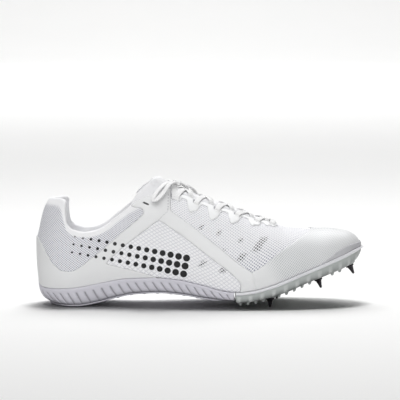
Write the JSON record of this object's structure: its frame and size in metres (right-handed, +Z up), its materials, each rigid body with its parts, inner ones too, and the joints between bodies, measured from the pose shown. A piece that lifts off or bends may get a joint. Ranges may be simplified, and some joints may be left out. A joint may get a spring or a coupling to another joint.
{
  "type": "track spike shoe",
  "caption": "Low lace-up running shoe with a hollow mesh upper, smooth film overlays, ribbed foam heel and a stiff forefoot plate with screwed studs",
  "frame": {"origin": "middle of the flat rest face under the heel", "axes": "+X runs from the heel to the toe, +Z up, the outer side of the foot faces -Y"},
  "size_m": [0.2858, 0.0932, 0.1094],
  "materials": {
    "mesh_white": "white knitted mesh",
    "tongue_cloth": "soft white cloth",
    "insole_cloth": "pale brushed cloth on foam",
    "foam": "lavender-white foam",
    "tread_rubber": "pale rubber",
    "plate": "translucent grey-green plastic",
    "film": "smooth white film",
    "stud_steel": "black steel",
    "lace": "white flat lace"
  },
  "bodies": {
    "root": {"upper": "mesh_white", "tongue": "tongue_cloth", "insole": "insole_cloth", "midsole": "foam", "outsole_tread": "tread_rubber", "spike_plate": "plate", "quarter_overlay_outer": "film", "quarter_overlay_inner": "film", "toe_overlay": "film", "toe_guard": "film", "eyestay_outer": "film", "eyestay_inner": "film", "spike_rear_outer": "stud_steel", "spike_rear_inner": "stud_steel", "spike_middle_outer": "stud_steel", "spike_middle_inner": "stud_steel", "spike_front_outer": "stud_steel", "spike_front_inner": "stud_steel", "lace_bars": "lace", "lace_knot": "lace", "lace_loop_outer": "lace", "lace_loop_inner": "lace", "lace_end_outer": "lace", "lace_end_inner": "lace"}
  },
  "joints": []
}
